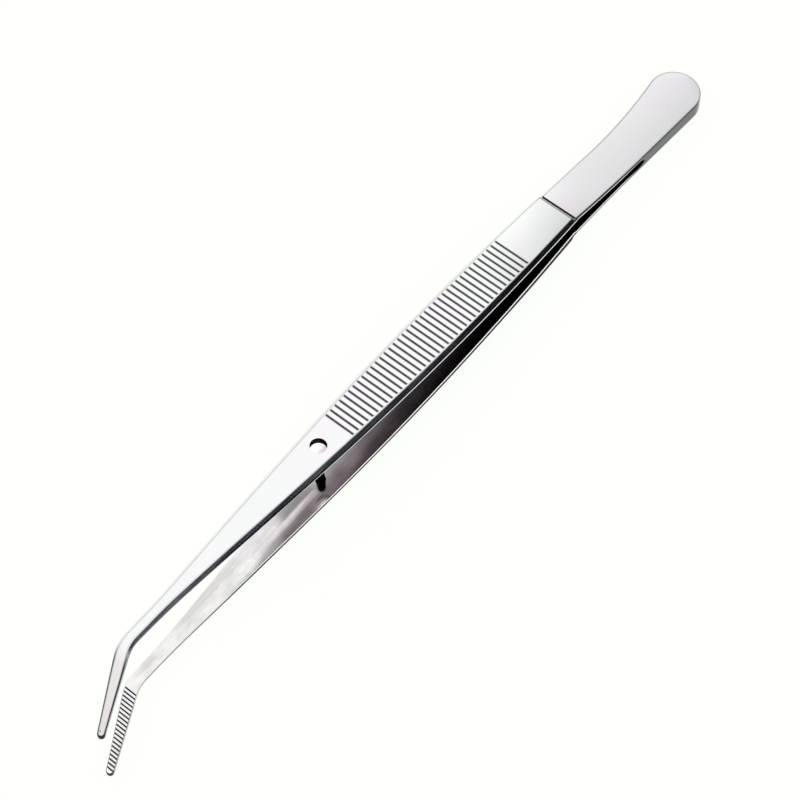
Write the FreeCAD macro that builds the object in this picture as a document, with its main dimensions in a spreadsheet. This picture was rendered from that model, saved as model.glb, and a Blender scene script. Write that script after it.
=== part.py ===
import FreeCAD, Part
import math
import os

import Sketcher

# Long angled tweezers: two spring-steel arms welded together at a rounded tail, sprung open,
# with a guide pin on the lower arm that enters a hole in the upper arm when they are squeezed.
#
# Every sub-part is drawn in the frame of the closed tail: the seam between the two tail plates
# is the plane z = 0, the tail's rounded end is at x = 0 and the tips point towards -X.
# "at" in a name is a distance from the tail's end, so it lies at x = -at.
# +Y is the far side, and the tips are bent towards -Y, the near side.
# The upper half is drawn, and the lower half is its mirror image.

DIMS = {
    # tail: two plates, flush along the near side and flared on the far side
    "plate": 2.0,
    "weld_at": 23.2,
    "tail_radius": 5.8,
    "tail_offset": 0.45,
    "flare_turn": 8.0,
    "flare_radius": 128.5,
    "near_turn": 2.15,
    # spring leaf between the weld and the shoulder
    "leaf": 0.9,
    "leaf_bow_at": 25.0,
    "leaf_bow_radius": 205.0,
    "relief_radius": 3.0,
    "hinge_at": 34.1,
    "split_gap": 0.1,
    "split_near": 5.2,
    "split_far": 4.4,
    # shoulder, where the full thickness of the arm begins
    "shoulder_at": 46.6,
    "shoulder_run": 0.9,
    "shoulder_half": 4.7,
    "shoulder_thick": 2.3,
    # arm seen from the side
    "face_angle": 2.65,
    "inner_angle": 3.0,
    "bow_at": 152.0,
    "bow_radius": 600.0,
    "inner_bow_radius": 655.0,
    # arm seen from above
    "grip_end_at": 133.0,
    "leg_angle": 3.58,
    "leg_radius": 222.0,
    "bend_at": 180.1,
    "bend_half": 1.42,
    "bend_radius": 9.5,
    "bend_angle": 29.0,
    "tip_length": 17.2,
    "tip_half": 0.8,
    "arm_bevel": 0.45,
    "tail_bevel": 0.3,
    # cross grooves of the grip, on the outer face
    "groove_at": 62.7,
    "groove_pitch": 1.47,
    "groove_count": 39,
    "groove_width": 0.75,
    "groove_depth": 0.4,
    # cross teeth of the tips, on the inner face; counted from the very end
    "tooth_at": 184.1,
    "tooth_pitch": 0.775,
    "tooth_count": 20,
    "tooth_width": 0.5,
    "tooth_depth": 0.25,
    # guide hole and guide pin
    "guide_at": 125.2,
    "hole_diameter": 3.6,
    "pin_diameter": 2.1,
    "pin_top_diameter": 1.7,
    "pin_length": 4.6,
    "shank_length": 1.75,
    "rivet_diameter": 1.6,
    # where the tail's end and the centre line lie once the whole part rests on its lower face
    "frame_x": 99.981,
    "frame_y": 2.2475,
    # height of the material that the arms are cut from
    "stock": 14.0,
}


class Size:
    """A number and the spreadsheet expression that gives it."""

    def __init__(self, value, text):
        self.value = value
        self.text = text

    def __add__(self, other):
        other = as_size(other)
        return Size(self.value + other.value, f"({self.text} + {other.text})")

    def __sub__(self, other):
        other = as_size(other)
        return Size(self.value - other.value, f"({self.text} - {other.text})")

    def __mul__(self, other):
        other = as_size(other)
        return Size(self.value * other.value, f"({self.text} * {other.text})")

    def __truediv__(self, other):
        other = as_size(other)
        return Size(self.value / other.value, f"({self.text} / {other.text})")

    def __neg__(self):
        return Size(-self.value, f"(0 - {self.text})")


def as_size(thing):
    return thing if isinstance(thing, Size) else Size(float(thing), repr(float(thing)))


def dim(name):
    return Size(float(DIMS[name]), f"dims.{name}")


def root(size):
    return Size(math.sqrt(size.value), f"sqrt({size.text})")


def sine(angle):
    return Size(math.sin(math.radians(angle.value)), f"sin({angle.text})")


def cosine(angle):
    return Size(math.cos(math.radians(angle.value)), f"cos({angle.text})")


def tangent(angle):
    return Size(math.tan(math.radians(angle.value)), f"tan({angle.text})")


def arcsine(ratio):
    return Size(math.degrees(math.asin(ratio.value)), f"(asin({ratio.text}) / 1 deg)")


# ---------------------------------------------------------------- heights of the side profile

def leaf_height(at, radius):
    """Height of the bowed leaf at a distance from the tail, on a circle about its centre."""
    reach = at - dim("leaf_bow_at")
    return dim("plate") + dim("leaf_bow_radius") - root(radius * radius - reach * reach)


def leaf_outer(at):
    return leaf_height(at, dim("leaf_bow_radius"))


def leaf_inner(at):
    return leaf_height(at, dim("leaf_bow_radius") + dim("leaf"))


def face_height(at):
    """Outer face: a straight line that starts from the tail plate's end corner."""
    return dim("plate") + at * tangent(dim("face_angle"))


def arm_front():
    """Where the full thickness starts, on the outer face."""
    return dim("shoulder_at") + dim("shoulder_run")


def inner_height(at):
    """Inner face: a straight line a little steeper than the outer face."""
    start = face_height(arm_front()) - dim("shoulder_thick")
    return start + (at - arm_front()) * tangent(dim("inner_angle"))


def bowed_height(at, line_height, angle, radius):
    """Height on the arc that carries on from a straight face beyond bow_at."""
    centre_at = dim("bow_at") + radius * sine(angle)
    centre_height = line_height - radius * cosine(angle)
    reach = at - centre_at
    return centre_height + root(radius * radius - reach * reach)


# ---------------------------------------------------------------- plan of the leg and the tip

def turned_from_bend(radius, angle):
    """Point on a circle about the bend's centre, turned towards the near side by an angle."""
    x = -dim("bend_at") - radius * sine(angle)
    y = radius * cosine(angle) - dim("bend_radius")
    return x, y


def tip_point(along, aside, angle):
    """Point reached from the bend's end along the tip and then aside, square to an angle."""
    start_x, start_y = turned_from_bend(dim("bend_radius"), dim("bend_angle"))
    x = start_x - along * cosine(dim("bend_angle")) - aside * sine(angle)
    y = start_y - along * sine(dim("bend_angle")) + aside * cosine(angle)
    return x, y


def tip_taper(side):
    """Angle of a tip edge to its centre line: it touches the bend's arc and the round end."""
    length = dim("tip_length") - dim("tip_half")
    span = root(length * length + dim("bend_radius") * dim("bend_radius"))
    edge_radius = dim("bend_radius") + dim("bend_half") * side
    reach = arcsine((edge_radius - dim("tip_half") * side) / span)
    return (reach - arcsine(dim("bend_radius") / span)) * side


def leg_end_at():
    """Where the straight edge of the leg meets the arc that leads into the bend."""
    return dim("bend_at") - dim("leg_radius") * sine(dim("leg_angle"))


def leg_end_half():
    return dim("bend_half") + dim("leg_radius") * (as_size(1.0) - cosine(dim("leg_angle")))


def grip_end_half():
    return leg_end_half() + (leg_end_at() - dim("grip_end_at")) * tangent(dim("leg_angle"))


def grip_edge_radius():
    """Radius of the grip's edge, which ends in the direction of the leg's straight edge."""
    run = dim("grip_end_at") - dim("shoulder_at")
    drop = dim("shoulder_half") - grip_end_half()
    across = run * sine(dim("leg_angle")) - drop * cosine(dim("leg_angle"))
    return (run * run + drop * drop) / (across * 2.0)


# ---------------------------------------------------------------- document helpers

doc = FreeCAD.newDocument("tweezers")
sheet = doc.addObject("Spreadsheet::Sheet", "dims")
for row, (alias, number) in enumerate(DIMS.items(), start=1):
    sheet.set(f"A{row}", alias)
    sheet.set(f"B{row}", str(number))
    sheet.setAlias(f"B{row}", alias)
doc.recompute()


def origin_plane(body, role):
    return next(item for item in body.Origin.OriginFeatures if item.Role == role)


def new_sketch(body, name, role):
    sketch = body.newObject("Sketcher::SketchObject", name)
    sketch.AttachmentSupport = [(origin_plane(body, role), "")]
    sketch.MapMode = "FlatFace"
    return sketch


def arc_between(start, end, radius, side):
    """Arc from start to end that bulges to the left (side 1) or to the right (side -1)."""
    first, last = (end, start) if side > 0 else (start, end)
    half = (last - first) * 0.5
    left = FreeCAD.Vector(-half.y, half.x, 0).normalize()
    centre = first + half + left * math.sqrt(radius ** 2 - half.Length ** 2)
    angles = [math.atan2(point.y - centre.y, point.x - centre.x) for point in (first, last)]
    return Part.ArcOfCircle(Part.Circle(centre, FreeCAD.Vector(0, 0, 1), radius), *angles)


def outline(sketch, corners):
    """Closed outline. A corner is (x, y), or (x, y, radius, side) when an arc leaves it."""
    points = [FreeCAD.Vector(corner[0].value, corner[1].value, 0) for corner in corners]
    count = len(corners)
    ends = []
    for index, corner in enumerate(corners):
        start = points[index]
        end = points[(index + 1) % count]
        if len(corner) == 2:
            sketch.addGeometry(Part.LineSegment(start, end))
            ends.append((1, 2))
        else:
            sketch.addGeometry(arc_between(start, end, corner[2].value, corner[3]))
            ends.append((2, 1) if corner[3] > 0 else (1, 2))
    for index, corner in enumerate(corners):
        after = (index + 1) % count
        sketch.addConstraint(
            Sketcher.Constraint("Coincident", index, ends[index][1], after, ends[after][0]))
        for axis, size in (("DistanceX", corner[0]), ("DistanceY", corner[1])):
            if abs(size.value) < 1e-9:
                line = -2 if axis == "DistanceX" else -1
                sketch.addConstraint(
                    Sketcher.Constraint("PointOnObject", index, ends[index][0], line))
                continue
            bound = sketch.addConstraint(
                Sketcher.Constraint(axis, -1, 1, index, ends[index][0], size.value))
            sketch.setExpression(f"Constraints[{bound}]", size.text)
        if len(corner) == 4:
            bound = sketch.addConstraint(Sketcher.Constraint("Radius", index, corner[2].value))
            sketch.setExpression(f"Constraints[{bound}]", corner[2].text)


def pad(body, name, sketch, length):
    feature = body.newObject("PartDesign::Pad", name)
    feature.Profile = sketch
    feature.setExpression("Length", length.text)
    doc.recompute()
    return feature


def pocket(body, name, sketch):
    """Cut right through the body to both sides of the sketch."""
    before = body.Shape.Volume
    feature = body.newObject("PartDesign::Pocket", name)
    feature.Profile = sketch
    feature.Type = "ThroughAll"
    feature.Midplane = True
    doc.recompute()
    if body.Shape.Volume > before - 1e-3:
        raise RuntimeError(f"{body.Label}: {name} cuts nothing")
    return feature


def repeat(body, name, feature, sketch, pitch, count):
    """Repeat a cut along the horizontal axis of its own sketch."""
    pattern = body.newObject("PartDesign::LinearPattern", name)
    pattern.Originals = [feature]
    pattern.Direction = (sketch, ["H_Axis"])
    pattern.Mode = "Spacing"
    pattern.setExpression("Offset", pitch.text)
    pattern.setExpression("Occurrences", count.text)
    body.Tip = pattern
    doc.recompute()
    return pattern


def rim_edges(shape, first_at, last_at):
    """Edges between the outer face and the sides, between two distances from the tail."""
    names = []
    for number, edge in enumerate(shape.Edges, start=1):
        reach = [-vertex.Point.x for vertex in edge.Vertexes]
        crosswise = edge.BoundBox.XLength < 0.2
        if crosswise or min(reach) < first_at - 0.01 or max(reach) > last_at + 0.01:
            continue
        lean = []
        for face in shape.ancestorsOfType(edge, Part.Face):
            low_u, high_u, low_v, high_v = face.ParameterRange
            lean.append(face.normalAt((low_u + high_u) / 2.0, (low_v + high_v) / 2.0).z)
        if len(lean) == 2 and max(lean) > 0.9 and abs(min(lean)) < 0.1:
            names.append(f"Edge{number}")
    return names


def bevel(body, name, first_at, last_at, size):
    base = body.Tip
    before = body.Shape.Volume
    feature = body.newObject("PartDesign::Chamfer", name)
    feature.Base = (base, rim_edges(base.Shape, first_at.value, last_at.value))
    feature.setExpression("Size", size.text)
    body.Tip = feature
    doc.recompute()
    if body.Shape.Volume > before - 1e-3:
        raise RuntimeError(f"{body.Label}: {name} removes nothing")


def bind_placement(thing, prefix, base, axis, angle):
    """Place a thing by expressions: its base point and a turn by an angle about an axis."""
    spot = FreeCAD.Vector(*(size.value for size in base))
    turn = FreeCAD.Rotation(FreeCAD.Vector(*axis), angle.value)
    setattr(thing, prefix, FreeCAD.Placement(spot, turn))
    for letter, size in zip("xyz", base):
        thing.setExpression(f"{prefix}.Base.{letter}", size.text)
    thing.setExpression(f"{prefix}.Rotation.Angle", angle.text)


# ---------------------------------------------------------------- tail plate with half a leaf

def make_tail():
    body = doc.addObject("PartDesign::Body", "upper_tail")
    split = dim("hinge_at") - dim("split_gap") / 2.0
    centre_y = -dim("tail_offset")
    radius = dim("tail_radius")
    plan = new_sketch(body, "tail_plan", "XY_Plane")
    outline(plan, [
        (-radius - radius * sine(dim("near_turn")), centre_y - radius * cosine(dim("near_turn")),
         radius, -1),
        (as_size(0.0), centre_y, radius, -1),
        (-radius - radius * sine(dim("flare_turn")), centre_y + radius * cosine(dim("flare_turn")),
         dim("flare_radius"), 1),
        (-split, dim("split_far")),
        (-split, -dim("split_near")),
    ])
    pad(body, "tail_pad", plan, dim("stock"))

    above = new_sketch(body, "tail_above", "XZ_Plane")
    outline(above, [
        (dim("plate"), dim("plate")),
        (-dim("leaf_bow_at"), dim("plate"), dim("leaf_bow_radius"), 1),
        (-dim("hinge_at"), leaf_outer(dim("hinge_at"))),
        (-dim("hinge_at"), dim("stock") + 1.0),
        (dim("plate"), dim("stock") + 1.0),
    ])
    pocket(body, "tail_outer_face", above)

    relief = dim("relief_radius")
    floor_height = leaf_inner(dim("leaf_bow_at"))
    run = root(relief * relief - (relief - floor_height) * (relief - floor_height))
    relief_at = dim("weld_at") + run
    below = new_sketch(body, "tail_below", "XZ_Plane")
    outline(below, [
        (-dim("weld_at"), as_size(0.0), relief, -1),
        (-relief_at, floor_height),
        (-dim("hinge_at"), leaf_inner(dim("hinge_at"))),
        (-dim("hinge_at"), as_size(0.0)),
    ])
    pocket(body, "tail_relief", below)
    bevel(body, "tail_bevel", as_size(0.0), dim("hinge_at"), dim("tail_bevel"))
    return body


# ---------------------------------------------------------------- arm from the leaf to the tip

def make_arm():
    body = doc.addObject("PartDesign::Body", "arm_stock")
    split = dim("hinge_at") + dim("split_gap") / 2.0
    outer = dim("bend_radius") + dim("bend_half")
    inner = dim("bend_radius") - dim("bend_half")
    straight = dim("tip_length") - dim("tip_half")
    far_angle = dim("bend_angle") + tip_taper(1)
    near_angle = dim("bend_angle") - tip_taper(-1)
    tip_half = dim("tip_half")
    plan = new_sketch(body, "arm_plan", "XY_Plane")
    outline(plan, [
        (-split, dim("split_far")),
        (-dim("shoulder_at"), dim("shoulder_half"), grip_edge_radius(), -1),
        (-dim("grip_end_at"), grip_end_half()),
        (-leg_end_at(), leg_end_half(), dim("leg_radius"), 1),
        (-dim("bend_at"), dim("bend_half"), outer, -1),
        turned_from_bend(outer, far_angle),
        tip_point(straight, tip_half, far_angle) + (tip_half, -1),
        tip_point(straight, -tip_half, near_angle),
        turned_from_bend(inner, near_angle) + (inner, 1),
        (-dim("bend_at"), -dim("bend_half"), dim("leg_radius"), 1),
        (-leg_end_at(), -leg_end_half()),
        (-dim("grip_end_at"), -grip_end_half(), grip_edge_radius(), -1),
        (-dim("shoulder_at"), -dim("shoulder_half")),
        (-split, -dim("split_near")),
    ])
    tip_end = tip_point(dim("tip_length"), as_size(0.0), dim("bend_angle"))
    pad(body, "arm_pad", plan, dim("stock"))

    beyond = tip_end[0] - 3.0
    split_x = -split + 1.0
    above = new_sketch(body, "arm_above", "XZ_Plane")
    bow_z = face_height(dim("bow_at"))
    outline(above, [
        (split_x, leaf_outer(-split_x), dim("leaf_bow_radius"), 1),
        (-dim("shoulder_at"), leaf_outer(dim("shoulder_at"))),
        (-arm_front(), face_height(arm_front())),
        (-dim("bow_at"), bow_z, dim("bow_radius"), -1),
        (beyond, bowed_height(-beyond, bow_z, dim("face_angle"), dim("bow_radius"))),
        (beyond, dim("stock") + 1.0),
        (split_x, dim("stock") + 1.0),
    ])
    pocket(body, "arm_outer_face", above)

    below = new_sketch(body, "arm_below", "XZ_Plane")
    inner_start = dim("shoulder_at")
    relief_end = dim("shoulder_at") - dim("shoulder_run")
    inner_bow_z = inner_height(dim("bow_at"))
    outline(below, [
        (split_x, leaf_inner(-split_x), dim("leaf_bow_radius") + dim("leaf"), 1),
        (-relief_end, leaf_inner(relief_end)),
        (-inner_start, inner_height(inner_start)),
        (-dim("bow_at"), inner_bow_z, dim("inner_bow_radius"), -1),
        (beyond, bowed_height(-beyond, inner_bow_z, dim("inner_angle"), dim("inner_bow_radius"))),
        (beyond, as_size(-1.0)),
        (split_x, as_size(-1.0)),
    ])
    pocket(body, "arm_inner_face", below)
    bevel(body, "leaf_bevel", as_size(0.0), dim("shoulder_at"), dim("tail_bevel"))
    bevel(body, "arm_bevel", arm_front(), -beyond, dim("arm_bevel"))

    grooves = new_sketch(body, "grip_groove", "XZ_Plane")
    last_groove_at = dim("groove_at") + dim("groove_pitch") * (dim("groove_count") - 1.0)
    bind_placement(grooves, "AttachmentOffset",
                   (-last_groove_at, face_height(last_groove_at), as_size(0.0)),
                   (0, 0, -1), dim("face_angle"))
    outline(grooves, [
        (-dim("groove_width"), dim("groove_depth")),
        (as_size(0.0), -dim("groove_depth")),
        (dim("groove_width"), dim("groove_depth")),
    ])
    groove = pocket(body, "groove", grooves)
    repeat(body, "grooves", groove, grooves, dim("groove_pitch"), dim("groove_count"))

    teeth = new_sketch(body, "tip_tooth", "XZ_Plane")
    tooth_run = dim("tooth_pitch") * (dim("tooth_count") - 1.0)
    middle_z = bowed_height(dim("tooth_at") + tooth_run / 2.0, inner_bow_z,
                            dim("inner_angle"), dim("inner_bow_radius"))
    bind_placement(teeth, "AttachmentOffset",
                   (-(dim("tooth_at") + tooth_run), middle_z, as_size(0.0)),
                   (0, 0, 1), as_size(0.0))
    outline(teeth, [
        (-dim("tooth_width"), -dim("tooth_depth")),
        (dim("tooth_width"), -dim("tooth_depth")),
        (as_size(0.0), dim("tooth_depth")),
    ])
    tooth = pocket(body, "tooth", teeth)
    repeat(body, "teeth", tooth, teeth, dim("tooth_pitch"), dim("tooth_count"))
    return body


# ---------------------------------------------------------------- guide hole and guide pin

def seated(x, y, z):
    """A point of the tail's frame once the part rests on the outer face of its lower arm."""
    tilt = dim("face_angle")
    rest_x = x * cosine(tilt) + z * sine(tilt) + dim("frame_x")
    rest_z = (z + dim("plate")) * cosine(tilt) - x * sine(tilt)
    return rest_x, y + dim("frame_y"), rest_z


def seat(thing):
    """Rest a thing that was drawn in the tail's frame."""
    origin = as_size(0.0)
    bind_placement(thing, "Placement", seated(origin, origin, origin),
                   (0, 1, 0), dim("face_angle"))


def seated_bar(name, diameter, x, z, axis, angle, lean):
    """Round bar centred on a point of the tail's frame; lean is its final angle to +Z."""
    bar = doc.addObject("Part::Cylinder", name)
    bar.setExpression("Radius", (diameter / 2.0).text)
    bar.setExpression("Height", dim("stock").text)
    reach = dim("stock") / 2.0
    low_end = seated(x - reach * sine(angle) * axis, as_size(0.0), z - reach * cosine(angle))
    bind_placement(bar, "Placement", low_end, (0, axis, 0), lean)
    return bar


def mirrored(name, source):
    """Mirror image of a seated thing in the seam between the two tail plates."""
    image = doc.addObject("Part::Mirroring", name)
    image.Source = source
    origin = as_size(0.0)
    for letter, size in zip("xyz", seated(origin, origin, origin)):
        image.setExpression(f"Base.{letter}", size.text)
    image.setExpression("Normal.x", sine(dim("face_angle")).text)
    image.setExpression("Normal.z", cosine(dim("face_angle")).text)
    doc.recompute()
    return image


def cut(name, base, tool):
    result = doc.addObject("Part::Cut", name)
    result.Base = base
    result.Tool = tool
    doc.recompute()
    return result


def make_pin():
    """Pin turned about its own axis: a shank riveted into the arm and a tapered round top."""
    body = doc.addObject("PartDesign::Body", "guide_pin")
    shank = dim("rivet_diameter") / 2.0
    foot = dim("pin_diameter") / 2.0
    top = dim("pin_top_diameter") / 2.0
    origin = as_size(0.0)
    profile = new_sketch(body, "pin_profile", "XZ_Plane")
    outline(profile, [
        (origin, -dim("shank_length")),
        (shank, -dim("shank_length")),
        (shank, origin),
        (foot, origin),
        (top, dim("pin_length") - top, top, -1),
        (origin, dim("pin_length")),
    ])
    turned = body.newObject("PartDesign::Revolution", "pin_turned")
    turned.Profile = profile
    turned.ReferenceAxis = (profile, ["V_Axis"])
    turned.Angle = 360.0
    doc.recompute()
    return body


# ---------------------------------------------------------------- the five sub-parts

hole_z = face_height(dim("guide_at"))
pin_z = -inner_height(dim("guide_at"))
pin_lean = dim("inner_angle") - dim("face_angle")
upper_tail = make_tail()
seat(upper_tail)
arm_stock = make_arm()
seat(arm_stock)
doc.recompute()
lower_tail = mirrored("lower_tail", upper_tail)
lower_stock = mirrored("lower_stock", arm_stock)
hole_bar = seated_bar("hole_bar", dim("hole_diameter"), -dim("guide_at"), hole_z,
                      1, dim("face_angle"), dim("face_angle") * 2.0)
rivet_bar = seated_bar("rivet_bar", dim("rivet_diameter"), -dim("guide_at"), pin_z,
                       -1, dim("inner_angle"), pin_lean)
upper_arm = cut("upper_arm", arm_stock, hole_bar)
lower_arm = cut("lower_arm", lower_stock, rivet_bar)
guide_pin = make_pin()
bind_placement(guide_pin, "Placement", seated(-dim("guide_at"), as_size(0.0), pin_z),
               (0, -1, 0), pin_lean)
doc.recompute()

for thing in doc.Objects:
    if "Invalid" in thing.State or "Error" in thing.State:
        raise RuntimeError(f"{thing.Label} did not compute")

os.makedirs("parts", exist_ok=True)
for node in (upper_tail, lower_tail, upper_arm, lower_arm, guide_pin):
    shape = node.Shape
    if shape.isNull() or not shape.isValid() or len(shape.Solids) != 1:
        raise RuntimeError(f"{node.Label} is not one valid solid")
    shape.exportStep(f"parts/{node.Label}.step")
    print(node.Label, round(shape.Volume, 2))
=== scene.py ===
import math

import bmesh
import bpy
from mathutils import Matrix, Vector


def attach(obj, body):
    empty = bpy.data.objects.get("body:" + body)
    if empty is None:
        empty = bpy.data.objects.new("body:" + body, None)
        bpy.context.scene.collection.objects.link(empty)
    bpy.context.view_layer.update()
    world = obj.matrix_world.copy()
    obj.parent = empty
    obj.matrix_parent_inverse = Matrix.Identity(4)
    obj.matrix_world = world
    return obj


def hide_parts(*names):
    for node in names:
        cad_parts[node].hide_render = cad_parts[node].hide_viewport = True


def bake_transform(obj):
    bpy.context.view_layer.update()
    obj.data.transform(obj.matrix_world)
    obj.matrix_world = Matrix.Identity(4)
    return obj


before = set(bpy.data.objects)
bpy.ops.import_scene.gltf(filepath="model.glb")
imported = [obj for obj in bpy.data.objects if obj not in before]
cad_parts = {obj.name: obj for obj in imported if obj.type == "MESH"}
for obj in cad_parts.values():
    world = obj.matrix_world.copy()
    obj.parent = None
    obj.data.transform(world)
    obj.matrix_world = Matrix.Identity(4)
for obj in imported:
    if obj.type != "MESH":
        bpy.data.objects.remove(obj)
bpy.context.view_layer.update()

MM = 0.001

# ---------------------------------------------------------------- driving sizes, in millimetres
# The same frame as the CAD model's drawing: the tail's end at x = 0, tips towards -X, and the
# seam between the two tail plates at z = 0. "at" is a distance from the tail's end.

PLATE = 2.0
WELD_AT = 23.2
TAIL_RADIUS = 5.8
TAIL_OFFSET = 0.45
NEAR_TURN = math.radians(2.15)
FLARE_TURN = math.radians(8.0)
FLARE_RADIUS = 128.5
LEAF = 0.9
LEAF_BOW_AT = 25.0
LEAF_BOW_RADIUS = 205.0
RELIEF_RADIUS = 3.0
HINGE_AT = 34.1
SPLIT_NEAR = 5.2
SPLIT_FAR = 4.4
SHOULDER_AT = 46.6
SHOULDER_RUN = 0.9
SHOULDER_HALF = 4.7
SHOULDER_THICK = 2.3
FACE_ANGLE = math.radians(2.65)
INNER_ANGLE = math.radians(3.0)
BOW_AT = 152.0
BOW_RADIUS = 600.0
INNER_BOW_RADIUS = 655.0
GRIP_END_AT = 133.0
LEG_ANGLE = math.radians(3.58)
LEG_RADIUS = 222.0
BEND_AT = 180.1
BEND_HALF = 1.42
BEND_RADIUS = 9.5
BEND_ANGLE = math.radians(29.0)
TIP_LENGTH = 17.2
TIP_HALF = 0.8
GROOVE_AT = 62.7
GROOVE_PITCH = 1.47
GROOVE_COUNT = 39
GROOVE_DEPTH = 0.30
TOOTH_AT = 184.1
TOOTH_PITCH = 0.775
TOOTH_COUNT = 20
TOOTH_DEPTH = 0.25
GUIDE_AT = 125.2
HOLE_RADIUS = 1.8
PIN_FOOT = 1.05
PIN_TOP = 0.88
PIN_HEIGHT = 4.6
CONE_START = 0.25
CONE_RUN = 3.45
SHANK_RADIUS = 0.8
SHANK_LENGTH = 1.7
FRAME_X = 99.981
FRAME_Y = 2.2475

EDGE = 0.09          # rounding of the outer edges
INNER_EDGE = 0.13    # rounding of the edges of the inner face
SUPPORT = 0.03       # narrow strip beside a rounding that keeps the flats flat
MARGIN = 0.26        # plain strip between the end of a groove and the edge
RUN_OUT = 0.10       # length of the slope at the end of a groove


# ---------------------------------------------------------------- side profile of the upper half

def on_arc(at, centre_at, centre_z, radius, sign):
    return centre_z + sign * math.sqrt(radius * radius - (at - centre_at) ** 2)


def leaf_outer(at):
    return on_arc(at, LEAF_BOW_AT, PLATE + LEAF_BOW_RADIUS, LEAF_BOW_RADIUS, -1)


def leaf_inner(at):
    return on_arc(at, LEAF_BOW_AT, PLATE + LEAF_BOW_RADIUS, LEAF_BOW_RADIUS + LEAF, -1)


def face_line(at):
    return PLATE + at * math.tan(FACE_ANGLE)


FRONT_AT = SHOULDER_AT + SHOULDER_RUN
BACK_AT = SHOULDER_AT - SHOULDER_RUN


def inner_line(at):
    start = face_line(FRONT_AT) - SHOULDER_THICK
    return start + (at - FRONT_AT) * math.tan(INNER_ANGLE)


def bow(at, start_z, angle, radius):
    centre_at = BOW_AT + radius * math.sin(angle)
    return on_arc(at, centre_at, start_z - radius * math.cos(angle), radius, 1)


def outer_z(at):
    if at <= LEAF_BOW_AT:
        return PLATE
    if at <= SHOULDER_AT:
        return leaf_outer(at)
    if at <= FRONT_AT:
        part = (at - SHOULDER_AT) / SHOULDER_RUN
        return leaf_outer(SHOULDER_AT) * (1 - part) + face_line(FRONT_AT) * part
    if at <= BOW_AT:
        return face_line(at)
    return bow(at, face_line(BOW_AT), FACE_ANGLE, BOW_RADIUS)


RELIEF_TOP = leaf_inner(LEAF_BOW_AT)
RELIEF_RUN = math.sqrt(RELIEF_RADIUS ** 2 - (RELIEF_RADIUS - RELIEF_TOP) ** 2)


def inner_z(at):
    if at <= WELD_AT:
        return 0.0
    if at <= WELD_AT + RELIEF_RUN:
        part = (at - WELD_AT) / RELIEF_RUN
        return RELIEF_TOP * math.sqrt(1 - (1 - part) ** 2)
    if at <= BACK_AT:
        return leaf_inner(at)
    if at <= SHOULDER_AT:
        part = (at - BACK_AT) / SHOULDER_RUN
        return leaf_inner(BACK_AT) * (1 - part) + inner_line(SHOULDER_AT) * part
    if at <= BOW_AT:
        return inner_line(at)
    return bow(at, inner_line(BOW_AT), INNER_ANGLE, INNER_BOW_RADIUS)


# ---------------------------------------------------------------- outline seen from above

LEG_END_AT = BEND_AT - LEG_RADIUS * math.sin(LEG_ANGLE)
LEG_END_HALF = BEND_HALF + LEG_RADIUS * (1 - math.cos(LEG_ANGLE))
GRIP_END_HALF = LEG_END_HALF + (LEG_END_AT - GRIP_END_AT) * math.tan(LEG_ANGLE)
GRIP_RUN = GRIP_END_AT - SHOULDER_AT
GRIP_DROP = SHOULDER_HALF - GRIP_END_HALF
GRIP_RADIUS = (GRIP_RUN ** 2 + GRIP_DROP ** 2) / (
    2 * (GRIP_RUN * math.sin(LEG_ANGLE) - GRIP_DROP * math.cos(LEG_ANGLE)))
GRIP_TOP_AT = GRIP_END_AT - GRIP_RADIUS * math.sin(LEG_ANGLE)
GRIP_TOP_HALF = GRIP_END_HALF + GRIP_RADIUS * (1 - math.cos(LEG_ANGLE))


def half_width(at):
    """Half width of the arm from the shoulder to the bend, the same on both sides."""
    if at <= GRIP_END_AT:
        return GRIP_TOP_HALF - GRIP_RADIUS + math.sqrt(GRIP_RADIUS ** 2 - (at - GRIP_TOP_AT) ** 2)
    if at <= LEG_END_AT:
        return LEG_END_HALF + (LEG_END_AT - at) * math.tan(LEG_ANGLE)
    return BEND_HALF + LEG_RADIUS - math.sqrt(LEG_RADIUS ** 2 - (BEND_AT - at) ** 2)


def tail_far(at):
    """Far edge of the tail: a hollow flare that ends at the split."""
    start_at = TAIL_RADIUS * (1 + math.sin(FLARE_TURN))
    start_y = TAIL_RADIUS * math.cos(FLARE_TURN) - TAIL_OFFSET
    centre_at = start_at + FLARE_RADIUS * math.sin(FLARE_TURN)
    centre_y = start_y + FLARE_RADIUS * math.cos(FLARE_TURN)
    return centre_y - math.sqrt(FLARE_RADIUS ** 2 - (at - centre_at) ** 2)


def tail_near(at):
    start_at = TAIL_RADIUS * (1 + math.sin(NEAR_TURN))
    start_y = -TAIL_OFFSET - TAIL_RADIUS * math.cos(NEAR_TURN)
    return start_y + (at - start_at) * (-SPLIT_NEAR - start_y) / (HINGE_AT - start_at)


def tip_taper(side):
    length = TIP_LENGTH - TIP_HALF
    span = math.hypot(length, BEND_RADIUS)
    edge_radius = BEND_RADIUS + BEND_HALF * side
    reach = math.asin((edge_radius - TIP_HALF * side) / span)
    return (reach - math.asin(BEND_RADIUS / span)) * side


TIP_RUN = TIP_LENGTH - TIP_HALF
TIP_CENTRE_AT = BEND_AT + BEND_RADIUS * math.sin(BEND_ANGLE) + TIP_RUN * math.cos(BEND_ANGLE)
TIP_CENTRE_Y = BEND_RADIUS * (math.cos(BEND_ANGLE) - 1) - TIP_RUN * math.sin(BEND_ANGLE)


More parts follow.
